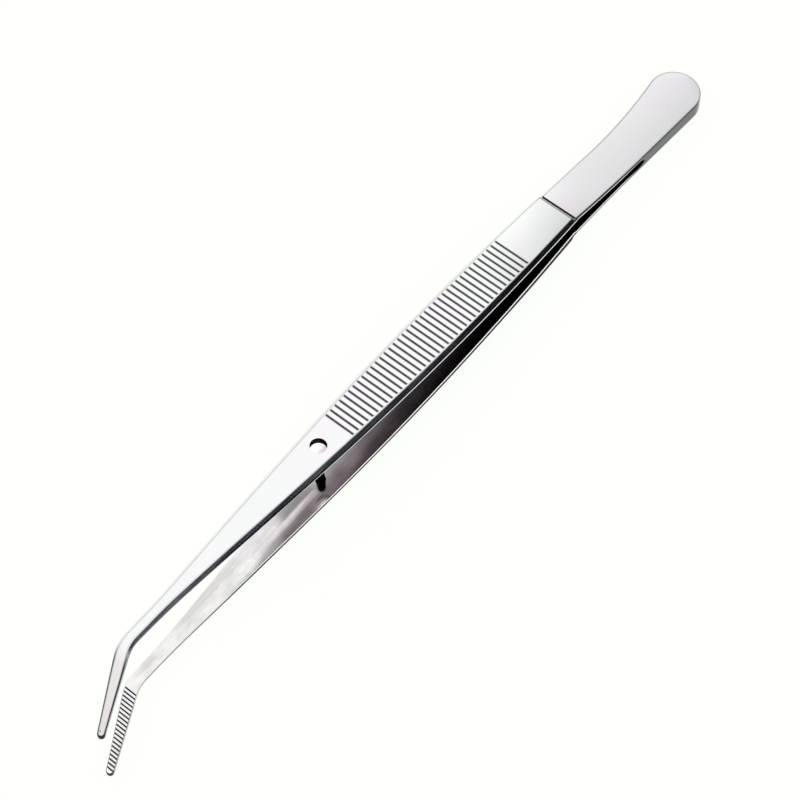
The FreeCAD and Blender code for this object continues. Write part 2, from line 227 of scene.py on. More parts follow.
def tip_edge(at, side):
    """The far (1) or near (-1) edge past the bend's start: bend, straight taper, round end."""
    radius = BEND_RADIUS + BEND_HALF * side
    turn = BEND_ANGLE + tip_taper(side) * side
    run = at - BEND_AT
    bend_run = radius * math.sin(turn)
    if run <= bend_run:
        return math.sqrt(radius ** 2 - run ** 2) - BEND_RADIUS
    if at <= TIP_CENTRE_AT + side * TIP_HALF * math.sin(turn):
        return radius * math.cos(turn) - BEND_RADIUS - (run - bend_run) * math.tan(turn)
    return TIP_CENTRE_Y + side * math.sqrt(max(0.0, TIP_HALF ** 2 - (at - TIP_CENTRE_AT) ** 2))


def edges(at):
    """Near and far edge of the strip from the hinge line to the tip."""
    if at < SHOULDER_AT:
        part = (at - HINGE_AT) / (SHOULDER_AT - HINGE_AT)
        near = -SPLIT_NEAR + (SPLIT_NEAR - SHOULDER_HALF) * part
        return near, SPLIT_FAR + (SHOULDER_HALF - SPLIT_FAR) * part
    if at < BEND_AT:
        return -half_width(at), half_width(at)
    return tip_edge(at, -1), tip_edge(at, 1)


# ---------------------------------------------------------------- surface features along the arm

def along_table(table, at):
    """Smooth value at a distance from the tail, eased between the table's rows."""
    for (at0, value0), (at1, value1) in zip(table, table[1:]):
        if at <= at1:
            part = max(0.0, (at - at0) / (at1 - at0))
            part = part * part * (3 - 2 * part)
            return value0 + (value1 - value0) * part
    return table[-1][1]


def stepped(value, low, high):
    """0 below low, 1 above high, smooth between them."""
    part = min(1.0, max(0.0, (value - low) / (high - low)))
    return part * part * (3 - 2 * part)


BEVEL_WIDTH = ((0, 0.16), (40, 0.18), (46.4, 0.22), (47.6, 0.40), (58, 0.50), (75, 0.66),
               (123, 0.72), (148, 0.58), (168, 0.58), (181, 0.46), (190, 0.24), (200, 0.16))
BEVEL_SLOPE = 1.2
VALLEY_SHARPNESS = 2.2


def valley(at, start, pitch, count):
    """Depth share in a row of rounded lands, and the place between its bottom and the next."""
    number = round((at - start) / pitch)
    if number < -1 or number > count:
        return 0.0, 0.5
    number = min(max(number, 0), count - 1)
    phase = (at - start - number * pitch) / pitch
    return (1 - math.sin(math.pi * min(abs(phase), 0.5))) ** VALLEY_SHARPNESS, phase


def groove(at):
    return valley(at, GROOVE_AT, GROOVE_PITCH, GROOVE_COUNT)


def tooth(at):
    return valley(at, TOOTH_AT, TOOTH_PITCH, TOOTH_COUNT)


# ---------------------------------------------------------------- stations along a strip

def spread(start, end, step):
    """Evenly spaced values from start towards end, without end itself."""
    count = max(1, round(abs(end - start) / step))
    return [start + (end - start) * index / count for index in range(count)]


TAIL_STEPS = 18       # stations around the tail's round end
TIP_STEPS = 12        # stations around the tip's round end
TAIL_STEP = 1.2       # spacings of the stations between the features
LEAF_STEP = 1.3
GRIP_STEP = 1.5
LEG_STEP = 1.2
BEND_STEP = 0.4
CREASE = 0.05         # a crease has stations this close to it
FAR_LEAD_RUN = 14     # the far edge's head start on the near one is used up over this length
PITCH_SHARES = (-0.42, -0.3, -0.2, -0.12, -0.06, 0.0, 0.06, 0.12, 0.2, 0.3, 0.42, 0.5)
RELIEF_SHARES = (0.02, 0.08, 0.18, 0.32, 0.5, 0.7, 1.0)
SHOULDER_SHARES = (-0.75, -0.43, -0.36, -0.3, -0.15, 0.0, 0.05, 0.11, 0.2, 0.4, 0.7, 0.95, 1.0,
                   1.06, 1.1, 1.14, 1.2, 1.28, 1.33, 1.38, 1.5)


def pitch_stations(start, count, pitch):
    """Values that catch each valley's sharp bottom and its rounded lands."""
    values = [start - pitch * 0.5]
    for number in range(count):
        values += [start + (number + share) * pitch for share in PITCH_SHARES]
    return values


def make_stations():
    """Each station is (distance from the tail, near point, far point), the points in plan."""
    stations = []
    for index in range(TAIL_STEPS):
        share = index / TAIL_STEPS
        far_angle = share * (math.pi / 2 + FLARE_TURN)
        near_angle = -share * (math.pi / 2 + NEAR_TURN)
        far = (-TAIL_RADIUS + TAIL_RADIUS * math.cos(far_angle),
               -TAIL_OFFSET + TAIL_RADIUS * math.sin(far_angle))
        near = (-TAIL_RADIUS + TAIL_RADIUS * math.cos(near_angle),
                -TAIL_OFFSET + TAIL_RADIUS * math.sin(near_angle))
        stations.append((TAIL_RADIUS * (1 - math.cos(far_angle)), near, far))

    near_start = TAIL_RADIUS * (1 + math.sin(NEAR_TURN))
    far_lead = TAIL_RADIUS * (math.sin(FLARE_TURN) - math.sin(NEAR_TURN))
    tail_ats = spread(near_start, WELD_AT - 4 * CREASE, TAIL_STEP)
    tail_ats += [WELD_AT - 2 * CREASE, WELD_AT]
    tail_ats += [WELD_AT + RELIEF_RUN * share for share in RELIEF_SHARES]
    tail_ats += spread(WELD_AT + RELIEF_RUN + 0.4, HINGE_AT - 0.4, LEAF_STEP)
    for at in tail_ats:
        lead = far_lead * max(0.0, 1 - (at - near_start) / FAR_LEAD_RUN)
        near, far = -abs(tail_near(at)), tail_far(at + lead)
        stations.append((at, (-at, near), (-at - lead, far)))

    ats = spread(HINGE_AT, BACK_AT - 2 * CREASE, LEAF_STEP)
    ats += [BACK_AT - CREASE, BACK_AT, BACK_AT + CREASE]
    ats += [SHOULDER_AT + share * SHOULDER_RUN for share in SHOULDER_SHARES]
    grooves = pitch_stations(GROOVE_AT, GROOVE_COUNT, GROOVE_PITCH)
    teeth = pitch_stations(TOOTH_AT, TOOTH_COUNT, TOOTH_PITCH)
    ats += spread(FRONT_AT + 1.0, grooves[0] - 2 * CREASE, GRIP_STEP)
    ats += [grooves[0] - CREASE] + grooves + [grooves[-1] + CREASE]
    ats += spread(grooves[-1] + 0.8, BOW_AT, LEG_STEP) + spread(BOW_AT, BEND_AT, LEG_STEP)
    ats += spread(BEND_AT, teeth[0] - 2 * CREASE, BEND_STEP)
    ats += [at for at in teeth if at < TIP_CENTRE_AT - 0.03]
    for at in ats:
        near, far = edges(at)
        stations.append((at, (-at, near), (-at, far)))

    for index in range(TIP_STEPS + 1):
        at = TIP_CENTRE_AT + TIP_HALF * math.sin(math.pi / 2 * index / TIP_STEPS)
        near, far = edges(at)
        stations.append((at, (-at, near), (-at, far)))
    return stations


def inward_directions(stations, index):
    """Directions from the near and the far edge into the face, in plan. Along the arm they
    keep to the station's own line, and around the two round ends they are square to the edge."""
    before = stations[max(index - 1, 0)]
    after = stations[min(index + 1, len(stations) - 1)]
    at = stations[index][0]
    if index in (0, len(stations) - 1):
        back = -1.0 if index == 0 else 1.0
        return (back, 0.0), (back, 0.0)
    directions = []
    for side, sign in ((1, 1), (2, -1)):
        run_x = after[side][0] - before[side][0]
        run_y = after[side][1] - before[side][1]
        length = math.hypot(run_x, run_y)
        normal = (sign * run_y / length, -sign * run_x / length)
        if TAIL_RADIUS < at < TIP_CENTRE_AT:
            normal = (0.0, 1.0 / normal[1])
        directions.append(normal)
    return directions


# ---------------------------------------------------------------- one strip as a closed surface

def bezier_corner(before, corner, after):
    """Start, middle and end of a small rounding."""
    middle = tuple(0.25 * a + 0.5 * b + 0.25 * c for a, b, c in zip(before, corner, after))
    return [before, middle, after]


PARTS = ("inner",) + ("lip",) * 5 + ("side",) * 4 + ("bevel",) * 5 + ("line", "outer", "field")
REACH = 1.5          # a rounding starts this many times as far from its corner as an arc would


def side_profile(bevel, cut, notch, thick, inner_edge, lip):
    """(inward offset, height over the inner face) of each point named in PARTS, from the inner
    face over the side to the outer face. cut is the depth of a groove, which runs out before
    it meets the edge, and notch that of a tooth."""
    drop = bevel * BEVEL_SLOPE
    slope = math.atan(BEVEL_SLOPE)
    reach_b = EDGE * math.tan((math.pi / 2 - slope) / 2) * REACH
    reach_c = EDGE * math.tan(slope / 2) * REACH
    run, rise = math.cos(slope), math.sin(slope)
    edge_top = notch + inner_edge
    side_top = thick - drop
    lip_top = min(max(edge_top + 2 * SUPPORT, lip), side_top - reach_b - 4 * SUPPORT)
    points = [(inner_edge + SUPPORT, notch)]
    points += bezier_corner((inner_edge, notch), (0.0, notch), (0.0, edge_top))
    points += [(0.0, edge_top + SUPPORT * 0.5), (0.0, lip_top), (0.0, lip_top + SUPPORT)]
    points += bezier_corner((0.0, side_top - reach_b), (0.0, side_top),
                            (reach_b * run, side_top + reach_b * rise))
    low = reach_b + SUPPORT
    high = reach_c + SUPPORT
    points.append((low * run, side_top + low * rise))
    points.append((bevel - high * run, thick - high * rise))
    points += bezier_corner((bevel - reach_c * run, thick - reach_c * rise), (bevel, thick),
                            (bevel + reach_c, thick))
    points += [(bevel + high, thick), (bevel + high + MARGIN, thick)]
    points.append((bevel + high + MARGIN + RUN_OUT, thick - cut))
    return points


ACROSS = 12          # columns between the two sides on the outer and on the inner face
TOP_TONE = 0.97      # no steel here is brighter than this
OUTER_LEVEL = 0.92   # the outer face's tones are shares of this
FLANK_PAINTED_SHADE = 0.74    # painted shade on a groove's flank, as a share of the face's tone
# painted dark line along the outer face's rim, on the near and the far side, as shares of the
# face's tone
NEAR_RIM_PAINTED_LINE = 0.72
FAR_RIM_PAINTED_LINE = 0.6
# painted reflection: tone to which the far half of the inner face is brightened on the leg
PAINTED_LEG_TONE = 0.93
NEAR_LIGHT = 0.5     # painted light: next to the pin the inner face is this much lighter on its near half
FAR_SHADE = 0.35     # and painted shade makes it this much darker on its far half
BLUSH_ACROSS = 0.55  # the tip's reddish tint is strongest on this share of the width
# painted highlight: share of the width along which the bright streak on the inner face runs
PAINTED_STREAK_ACROSS = 0.375
TONE_SLANT = 12      # a painted tone of the inner face starts this much earlier at its far edge
SLANT_FROM, SLANT_TO = 100, 170
SLANT_PIVOT = 0.3    # share of the width at which the slant changes nothing
WELD_FADE = 4.0      # length over which the inner edge's rounding grows out of the weld

# Each row is a distance from the tail's end and the tone, share or height there.
# Painted reflection: the outer face's tone along the strip, darker at the tail and at the tip.
OUTER_PAINTED_TONE = ((0, 0.82), (30, 0.82), (46, 0.85), (60, 0.94), (75, 1.0), (183, 1.0), (187, 0.9),
              (200, 0.86))
# Painted shade and light across the outer face: darker towards the near edge, lighter towards the
# far edge, by this share.
OUTER_PAINTED_GRADIENT = ((0, 0.10), (34, 0.05), (52, 0.16), (64, 0.10), (76, 0.0), (200, 0.0))
# Painted reflection and shade: the inner face's tone along the strip, dark between the arms
# towards the tail.
INNER_PAINTED_TONE = ((22, 0.10), (46, 0.10), (60, 0.18), (95, 0.34), (108, 0.42), (123, 0.52),
              (136, 0.50), (148, 0.93), (180, 0.93), (184, 0.97), (200, 0.97))
TIP_BLUSH = ((0, 0.0), (182, 0.0), (187, 1.0), (200, 1.0))
# Painted reflections on the edges: the sides and bevels are painted dark where they mirror dark
# surroundings, and the lip along the inner edge is a painted highlight.
SIDE_PAINTED_TONE = ((0, 0.10), (25, 0.10), (31, 0.012), (150, 0.012), (168, 0.09), (182, 0.12),
             (188, 0.40), (197.5, 0.40), (199.2, 0.05), (200, 0.05))
LOWER_SIDE_PAINTED_TONE = ((0, 0.09), (25, 0.09), (31, 0.012), (148, 0.012), (164, 0.08), (188, 0.24),
                   (198, 0.20), (199.2, 0.05), (200, 0.05))
LIP_PAINTED_TONE = ((0, 0.10), (25, 0.10), (31, 0.75), (60, 0.97), (180, 0.97), (188, 0.42),
             (198, 0.40), (199.4, 0.05), (200, 0.05))
LIP_HEIGHT = ((0, 0.4), (34, 0.42), (50, 0.5), (100, 0.46), (123, 0.3), (150, 0.14), (200, 0.14))
LOWER_LIP_HEIGHT = ((0, 0.28), (110, 0.28), (140, 0.16), (200, 0.16))
BEVEL_PAINTED_TONE = ((0, 0.5), (25, 0.5), (40, 0.2), (60, 0.15), (78, 0.2), (100, 0.5), (150, 0.55),
              (168, 0.9), (182, 0.9), (187, 0.10), (200, 0.06))
FAR_BEVEL_PAINTED_TONE = ((0, 0.5), (25, 0.5), (40, 0.85), (182, 0.9), (187, 0.10), (200, 0.06))
# Painted shadow at the foot of the shoulder and painted shade at its brow, as dark lines.
SHOULDER_FOOT_PAINTED_SHADOW = ((SHOULDER_AT - 0.38, 0.0), (SHOULDER_AT - 0.28, 1.0), (SHOULDER_AT, 1.0),
                 (SHOULDER_AT + 0.1, 0.0))
SHOULDER_BROW_PAINTED_SHADE = ((FRONT_AT + 0.06, 0.0), (FRONT_AT + 0.12, 0.8), (FRONT_AT + 0.26, 0.8),
                 (FRONT_AT + 0.34, 0.0))
# Where the inner face gets a painted highlight streak, a painted bright far edge, painted light
# and shade beside the pin, and a painted bright far half on the leg.
PAINTED_STREAK = ((126.5, 0.0), (129, 1.0), (144, 1.0), (152, 0.0))
PAINTED_FAR_SHINE = ((106, 0.0), (112, 1.0), (146, 1.0), (154, 0.0))
PAINTED_PIN_SHADE = ((126.5, 0.0), (129, 1.0), (135.5, 1.0), (139, 0.0))
PAINTED_LEG_SHINE = ((136, 0.0), (139.5, 1.0), (150, 1.0), (160, 0.0))
LEG_WARMTH = ((138, 0.0), (152, 1.0))
TOOTH_POLISH = ((181, 1.0), (185, 0.2))

# Shares of a pitch between which a painted dark line, or the painted shade beside it, fades out.
GROOVE_LINE = (0.07, 0.15)
GROOVE_FLANK = (0.12, 0.42)
TOOTH_LINE = (0.14, 0.23)

# Shares of the inner face's width between which a painted tone fades out or in.
PAINTED_STREAK_HALF = (0.05, 0.12)
FAR_HALF = (0.3, 0.5)
FAR_EDGE = (0.8, 0.99)

WARM = (1.0, 0.91, 0.91)
WARM_INNER = (1.0, 0.97, 0.965)
# bluish tint of the painted dark reflection on the sides
COOL = (0.94, 0.97, 1.06)
PLUM = (1.0, 0.93, 0.96)
CREAM = (1.0, 0.985, 0.965)
# painted shade in the bottoms of the grooves and of the teeth
GROOVE_PAINTED_SHADE = (0.02, 0.016, 0.016)
TOOTH_PAINTED_SHADE = (0.02, 0.012, 0.012)


def scaled(tone, tint=(1.0, 1.0, 1.0)):
    return tuple(min(TOP_TONE, tone * part) for part in tint)


def mixed(first, second, share):
    return tuple(a + (b - a) * share for a, b in zip(first, second))


def inner_painted_tone(at, across):
    """Tone of the inner face, painted reflection throughout: a painted highlight streak from the
    guide pin to the leg, painted light on its near side and painted shade on its far side next to
    the pin, a painted brighter far half on the leg, and a painted bright far edge."""
    slanted = SLANT_FROM < at < SLANT_TO
    place = at + (TONE_SLANT * (across - SLANT_PIVOT) if slanted else 0.0)
    tone = along_table(INNER_PAINTED_TONE, place)
    painted_streak = along_table(PAINTED_STREAK, at) * (1 - stepped(abs(across - PAINTED_STREAK_ACROSS), *PAINTED_STREAK_HALF))
    far_edge = along_table(PAINTED_FAR_SHINE, at) * stepped(across, *FAR_EDGE)
    far_half = stepped(across, *FAR_HALF)
    tone *= 1 + along_table(PAINTED_PIN_SHADE, at) * (NEAR_LIGHT - (NEAR_LIGHT + FAR_SHADE) * far_half)
    tone += (PAINTED_LEG_TONE - tone) * along_table(PAINTED_LEG_SHINE, at) * far_half
    return tone + (TOP_TONE - tone) * max(painted_streak, far_edge)


def outer_surface(part, at, across, outer, color):
    """Colour and finish of the outer face; its field has the grooves with painted shade in and
    beside them and at the shoulder, and line is its rim with a painted dark line.
    """
    depth, phase = groove(at)
    # painted shade: dark lines at the shoulder, in the grooves' bottoms and on their flanks
    painted_shade_line = max(along_table(SHOULDER_FOOT_PAINTED_SHADOW, at), along_table(SHOULDER_BROW_PAINTED_SHADE, at))
    if part == "field" and depth > 0.0:
        painted_shade_line = max(painted_shade_line, 1 - stepped(abs(phase), *GROOVE_LINE))
        painted_flank_shade = (1 - stepped(phase, *GROOVE_FLANK)) if phase > 0 else 0.0
        color = mixed(color, scaled(outer * FLANK_PAINTED_SHADE, PLUM), painted_flank_shade)
    # painted dark line on the rim
    if part == "line":
        color = scaled(outer * (NEAR_RIM_PAINTED_LINE if across < 0.5 else FAR_RIM_PAINTED_LINE))
    return mixed(color, GROOVE_PAINTED_SHADE, painted_shade_line), (painted_shade_line, 0.0, 0.0)


def surface(part, at, across, upper):
    """Base colour, with painted light and shade, and finish (valley, side, inner face) of one
    point of a strip.
    """
    blush = along_table(TIP_BLUSH, at) * (1 - abs(across - BLUSH_ACROSS))
    if part in ("outer", "field", "line"):
        # painted reflection along the outer face and painted shade across it
        outer = OUTER_LEVEL * along_table(OUTER_PAINTED_TONE, at)
        outer *= 1 + along_table(OUTER_PAINTED_GRADIENT, at) * (2 * across - 1)
        color = mixed(scaled(outer), scaled(outer, WARM), blush)
        return outer_surface(part, at, across, outer, color)
    # the bevels, sides and lip get painted reflections: dark bands, bluish on the sides, and a
    # bright lip
    if part == "bevel":
        table = BEVEL_PAINTED_TONE if across < 0.5 else FAR_BEVEL_PAINTED_TONE
        return scaled(along_table(table, at)), (0.0, 0.2, 0.0)
    if part == "side":
        tone = along_table(SIDE_PAINTED_TONE if upper else LOWER_SIDE_PAINTED_TONE, at)
        return scaled(tone, COOL), (0.0, 1.0, 0.0)
    if part == "lip":
        return scaled(along_table(LIP_PAINTED_TONE, at)), (0.0, 1.0, 0.0)
    inner = inner_painted_tone(at, across)
    tint = mixed(PLUM, CREAM, along_table(LEG_WARMTH, at))
    color = mixed(scaled(inner, tint), scaled(inner, WARM_INNER), blush)
    # painted shade darkens the bottoms of the teeth
    depth, phase = tooth(at)
    painted_shade_line = 1 - stepped(abs(phase), *TOOTH_LINE) if depth > 0.0 else 0.0
    return mixed(color, TOOTH_PAINTED_SHADE, painted_shade_line), (painted_shade_line, 0.0, along_table(TOOTH_POLISH, at))


def ring_points(station, directions, upper):
    """One closed ring of the upper strip: near side, outer face, far side, inner face."""
    path, near, far = station
    sides = []
    for point, inward in zip((near, far), directions):
        at = -point[0]
        thick = outer_z(at) - inner_z(at)
        bevel = min(along_table(BEVEL_WIDTH, path), thick * 0.5 / BEVEL_SLOPE)
        inner_edge = INNER_EDGE * min(1.0, max(0.02, (path - WELD_AT) / WELD_FADE))
        cut = GROOVE_DEPTH * groove(path)[0]
        notch = TOOTH_DEPTH * tooth(path)[0]
        placed = []
        lip = along_table(LIP_HEIGHT if upper else LOWER_LIP_HEIGHT, path)
        for offset, height in side_profile(bevel, cut, notch, thick, inner_edge, lip):
            x = point[0] + inward[0] * offset
            y = point[1] + inward[1] * offset
            if height > thick / 2:
                z = outer_z(-x) - (thick - height)
            else:
                z = inner_z(-x) + height
            placed.append((x, y, z))
        sides.append(placed)
    near_side, far_side = sides
    ring = [(point, part, 0.0) for point, part in zip(near_side, PARTS)]
    for column in range(1, ACROSS):
        share = column / ACROSS
        x, y = mixed(near_side[-1][:2], far_side[-1][:2], share)
        ring.append(((x, y, outer_z(-x) - cut), "field", share))
    ring += [(point, part, 1.0) for point, part in zip(far_side[::-1], PARTS[::-1])]
    for column in range(1, ACROSS):
        share = column / ACROSS
        x, y = mixed(far_side[0][:2], near_side[0][:2], share)
        ring.append(((x, y, inner_z(-x) + notch), "inner", 1 - share))
    return ring


def make_strip(name, upper):
    stations = make_stations()
    verts, tones, finishes = [], [], []
    for index, station in enumerate(stations):
        ring = ring_points(station, inward_directions(stations, index), upper)
        for (x, y, z), part, across in ring:
            verts.append((x * MM, y * MM, (z if upper else -z) * MM))
            tone, finish = surface(part, station[0], across, upper)
            tones.append(tone + (1.0,))
            finishes.append(finish + (1.0,))
    around = len(ring)
    faces = []
    for row in range(len(stations) - 1):
        for column in range(around):
            a = row * around + column
            b = row * around + (column + 1) % around
            face = (a, b, b + around, a + around)
            faces.append(face if upper else face[::-1])
    mesh = bpy.data.meshes.new(name)
    mesh.from_pydata(verts, [], faces)
    for layer_name, values in (("tone", tones), ("finish", finishes)):
        layer = mesh.attributes.new(layer_name, "FLOAT_COLOR", "POINT")
        for index, value in enumerate(values):
            layer.data[index].color = value
    return mesh


REST = (Matrix.Translation((FRAME_X * MM, FRAME_Y * MM, PLATE * math.cos(FACE_ANGLE) * MM))
        @ Matrix.Rotation(FACE_ANGLE, 4, "Y"))
SHARP = math.radians(38.0)


def finish_mesh(mesh, name, material):
    """Rest the mesh like the CAD model, close its ends, smooth it and put it in the scene."""
    mesh.transform(REST)
    shape = bmesh.new()
    shape.from_mesh(mesh)
    bmesh.ops.remove_doubles(shape, verts=shape.verts, dist=0.0000008)
    bmesh.ops.recalc_face_normals(shape, faces=shape.faces)
    open_edges = sum(1 for edge in shape.edges if not edge.is_manifold)
    shape.to_mesh(mesh)
    shape.free()
    print(name, "faces", len(mesh.polygons), "open edges", open_edges)
    for polygon in mesh.polygons:
        polygon.use_smooth = True
    mesh.set_sharp_from_angle(angle=SHARP)
    mesh.materials.append(material)
    thing = bpy.data.objects.new(name, mesh)
    bpy.context.scene.collection.objects.link(thing)
    return thing


ON_AXIS = 0.0001      # a turned profile starts and ends this close to its axis
CUTTER_REACH = 6.0


def turned(name, profile, foot, lean, material, steps=64):
    """Surface of revolution about an axis through foot that leans from +Z towards -X."""
    verts = []
    faces = []
    for radius, height in profile:
        for index in range(steps):
            angle = 2 * math.pi * index / steps
            verts.append((radius * math.cos(angle), radius * math.sin(angle), height))
    for row in range(len(profile) - 1):
        for index in range(steps):
            after = (index + 1) % steps
            faces.append((row * steps + index, row * steps + after,
                          (row + 1) * steps + after, (row + 1) * steps + index))
    place = Matrix.Translation(foot) @ Matrix.Rotation(-lean, 4, "Y")
    mesh = bpy.data.meshes.new(name)
    mesh.from_pydata([tuple(c * MM for c in place @ Vector(v)) for v in verts], [], faces)
    return finish_mesh(mesh, name, material)


# ---------------------------------------------------------------- materials

# Spots per metre along x, y and z; x is roughly the strips' length.
CLOUDS = (70.0, 70.0, 70.0)
STREAKS = (45.0, 2600.0, 2600.0)
SMEARS = (150.0, 330.0, 330.0)
GRINDING = (70.0, 9000.0, 9000.0)
SPECKLES = (900.0, 900.0, 900.0)
GRINDING_DEPTH = 0.00002

OUTER_ROUGHNESS = (0.08, 0.18)
INNER_GLOSS = 0.045          # the inner face is less rough by this much
SIDE_ROUGHNESS = 0.08        # the sides are rougher by this much
VALLEY_ROUGHNESS = 0.15
DARKEST, PALER = 0.03, 0.1   # between these tones the reflection at a flat angle comes back, so painted shade stays dark at a flat angle too


def node_tree(name):
    material = bpy.data.materials.new(name)
    material.use_nodes = True
    tree = material.node_tree
    return material, tree, tree.nodes["Principled BSDF"]


def add(tree, kind, **values):
    node = tree.nodes.new(kind)
    for key, value in values.items():
        if key.startswith("in_"):
            node.inputs[key[3:].replace("_", " ")].default_value = value
        else:
            setattr(node, key, value)
    return node


def blended(tree, factor, first, second, kind="MIX"):
    """Colour between two colours or sockets; factor is a socket or a number."""
    node = add(tree, "ShaderNodeMix", data_type="RGBA", blend_type=kind)
    for key, value in (("Factor", factor), ("A", first), ("B", second)):
        if isinstance(value, tuple):
            node.inputs[key].default_value = value + (1.0,)
        elif isinstance(value, float):
            node.inputs[key].default_value = value
        else:
            tree.links.new(value, node.inputs[key])
    return node.outputs["Result"]


def ranged(tree, value, low, high, to_low, to_high):
    node = add(tree, "ShaderNodeMapRange", in_From_Min=low, in_From_Max=high, in_To_Min=to_low,
               in_To_Max=to_high)
    tree.links.new(value, node.inputs["Value"])
    return node.outputs["Result"]


def plus_share(tree, value, share, amount):
    """value + share * amount."""
    node = add(tree, "ShaderNodeMath", operation="MULTIPLY_ADD")
    tree.links.new(share, node.inputs[0])
    node.inputs[1].default_value = amount
    if isinstance(value, float):
        node.inputs[2].default_value = value
    else:
        tree.links.new(value, node.inputs[2])
    return node.outputs[0]


def noise(tree, stretch, detail):
    """Noise whose scale along x, y and z is in spots per metre."""
    mapping = add(tree, "ShaderNodeMapping", in_Scale=stretch)
    place = add(tree, "ShaderNodeTexCoord").outputs["Object"]
    tree.links.new(place, mapping.inputs["Vector"])
    node = add(tree, "ShaderNodeTexNoise", in_Scale=1.0, in_Detail=detail, in_Roughness=0.6)
    tree.links.new(mapping.outputs["Vector"], node.inputs["Vector"])
    return node.outputs["Fac"]


def brushed_relief(tree, shader, strength):
    relief = add(tree, "ShaderNodeBump", in_Strength=strength, in_Distance=GRINDING_DEPTH)
    tree.links.new(noise(tree, GRINDING, 4.0), relief.inputs["Height"])
    tree.links.new(relief.outputs["Normal"], shader.inputs["Normal"])


def strip_steel():
    """Ground and polished spring steel with lengthwise streaks. The point attribute "tone" is
    its colour, painted light and shade included; "finish" says where a painted dark line in a
    valley or at the shoulder (red), a side (green) or the inner face (blue) is.
    Valleys and sides are ground less finely than the outer face, the inner face more finely."""
    material, tree, shader = node_tree("ground_spring_steel")
    link = tree.links.new
    shader.inputs["Metallic"].default_value = 1.0
    tone = add(tree, "ShaderNodeAttribute", attribute_name="tone").outputs["Color"]
    finish = add(tree, "ShaderNodeAttribute", attribute_name="finish").outputs["Color"]
    parts = add(tree, "ShaderNodeSeparateColor")
    link(finish, parts.inputs["Color"])
    valley_share, side_share, inner_share = parts.outputs[0:3]
    clouds = ranged(tree, noise(tree, CLOUDS, 3.0), 0.35, 0.65, 0.0, 1.0)
    cloudy = blended(tree, clouds, (1.0, 0.965, 1.0), (0.96, 1.0, 0.985))
    streaks = noise(tree, STREAKS, 3.0)
    smears = ranged(tree, noise(tree, SMEARS, 3.0), 0.4, 0.62, 0.80, 1.0)
    color = blended(tree, 1.0, tone, cloudy, "MULTIPLY")
    color = blended(tree, plus_share(tree, 0.15, inner_share, 0.75), color,
                    ranged(tree, streaks, 0.35, 0.65, 0.88, 1.0), "MULTIPLY")
    color = blended(tree, inner_share, color, smears, "MULTIPLY")
    rough = ranged(tree, streaks, 0.3, 0.7, *OUTER_ROUGHNESS)
    rough = plus_share(tree, rough, inner_share, -INNER_GLOSS)
    rough = plus_share(tree, rough, side_share, SIDE_ROUGHNESS)
    rough = plus_share(tree, rough, valley_share, VALLEY_ROUGHNESS)
    link(ranged(tree, tone, DARKEST, PALER, 0.45, 1.0), shader.inputs["Specular Tint"])
    link(color, shader.inputs["Base Color"])
    link(rough, shader.inputs["Roughness"])
    brushed_relief(tree, shader, 0.25)
    return material


def machined_steel(name, color, low, high):
    """Steel left as it came off the lathe or the drill; its roughness varies from low to high."""
    material, tree, shader = node_tree(name)
    shader.inputs["Metallic"].default_value = 1.0
    spots = ranged(tree, noise(tree, SPECKLES, 4.0), 0.3, 0.7, 0.0, 1.0)
    tint = blended(tree, spots, tuple(part * 0.7 for part in color), color)
    shader.inputs["Specular Tint"].default_value = tuple(part ** 0.5 for part in color) + (1.0,)
    tree.links.new(tint, shader.inputs["Base Color"])
    tree.links.new(ranged(tree, spots, 0.0, 1.0, low, high), shader.inputs["Roughness"])
    brushed_relief(tree, shader, 0.2)
    return material


STRIP_STEEL = strip_steel()
# the pin's near-black colour is painted shade, the shade it stands in under the upper arm's hole
PIN_PAINTED_SHADE_STEEL = machined_steel("turned_pin_steel_painted_shade", (0.008, 0.007, 0.008), 0.2, 0.35)
# the hole wall's near-black colour is painted shade inside the hole
DRILLED_PAINTED_SHADE = machined_steel("drilled_steel_painted_shade", (0.04, 0.028, 0.026), 0.25, 0.4)
PLAIN_STEEL = machined_steel("stock_steel", (0.62, 0.62, 0.63), 0.2, 0.35)
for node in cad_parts.values():
    node.data.materials.clear()
    node.data.materials.append(PIN_PAINTED_SHADE_STEEL if node.name == "guide_pin" else PLAIN_STEEL)


# ---------------------------------------------------------------- the three pieces

RIM_REACH = 1.05      # a point this many radii from the hole's axis is on its rim
HOLE_DEPTH = 3.0      # deeper than the arm is thick
OUTER_SKIN = 0.5      # the outer face's points lie above this depth


def drill(thing, foot, radius):
    """Cut a round hole square to the outer face; its wall keeps the drilled steel, near black as
    painted shade inside the hole.
    """
    profile = [(ON_AXIS, -CUTTER_REACH), (radius, -CUTTER_REACH), (radius, CUTTER_REACH),
               (ON_AXIS, CUTTER_REACH)]
    cutter = turned("cutter", profile, foot, -FACE_ANGLE, DRILLED_PAINTED_SHADE, steps=96)
    thing.data.materials.append(DRILLED_PAINTED_SHADE)
    cut = thing.modifiers.new("hole", "BOOLEAN")
    cut.operation = "DIFFERENCE"
    cut.solver = "EXACT"
    cut.material_mode = "TRANSFER"
    cut.object = cutter
    seen = thing.evaluated_get(bpy.context.evaluated_depsgraph_get())
    mesh = bpy.data.meshes.new_from_object(seen)
    thing.modifiers.clear()
    thing.data = mesh
    bpy.data.objects.remove(cutter)
    mesh.set_sharp_from_angle(angle=SHARP)
    plain_rim(mesh, foot, radius)


